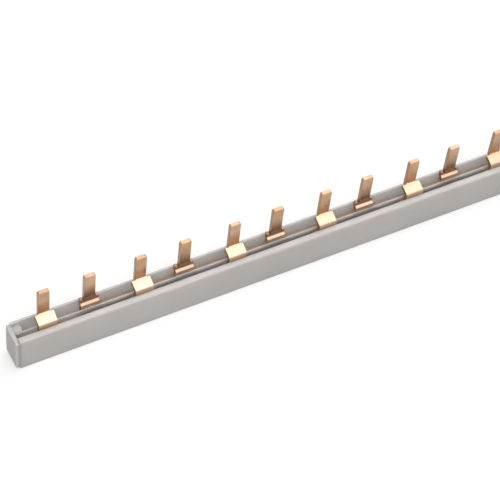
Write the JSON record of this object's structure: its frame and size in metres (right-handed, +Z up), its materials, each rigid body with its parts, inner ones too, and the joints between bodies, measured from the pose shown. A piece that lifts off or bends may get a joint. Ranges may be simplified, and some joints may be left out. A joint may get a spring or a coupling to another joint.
{
  "type": "comb busbar",
  "caption": "Two-pole pin comb busbar: insulating channel profile holding two copper combs whose pins alternate in one plane, closed by end caps, for linking a row of modular devices",
  "frame": {"origin": "middle of the profile's underside, at the middle of the busbar's length and depth", "axes": "+X along the busbar, towards the end where the rear comb has the last pin; +Y to the rear, the side that the pins stand near; +Z up, the way the pins point"},
  "size_m": [0.2212, 0.0092, 0.0297],
  "materials": {
    "grey_plastic": "extruded and moulded plastic, satin, light warm grey",
    "copper": "bare rolled copper strip, satin, stamped edges"
  },
  "bodies": {
    "root": {"insulating_profile": "grey_plastic", "front_comb": "copper", "rear_comb": "copper", "left_end_cap": "grey_plastic", "right_end_cap": "grey_plastic"}
  },
  "joints": []
}
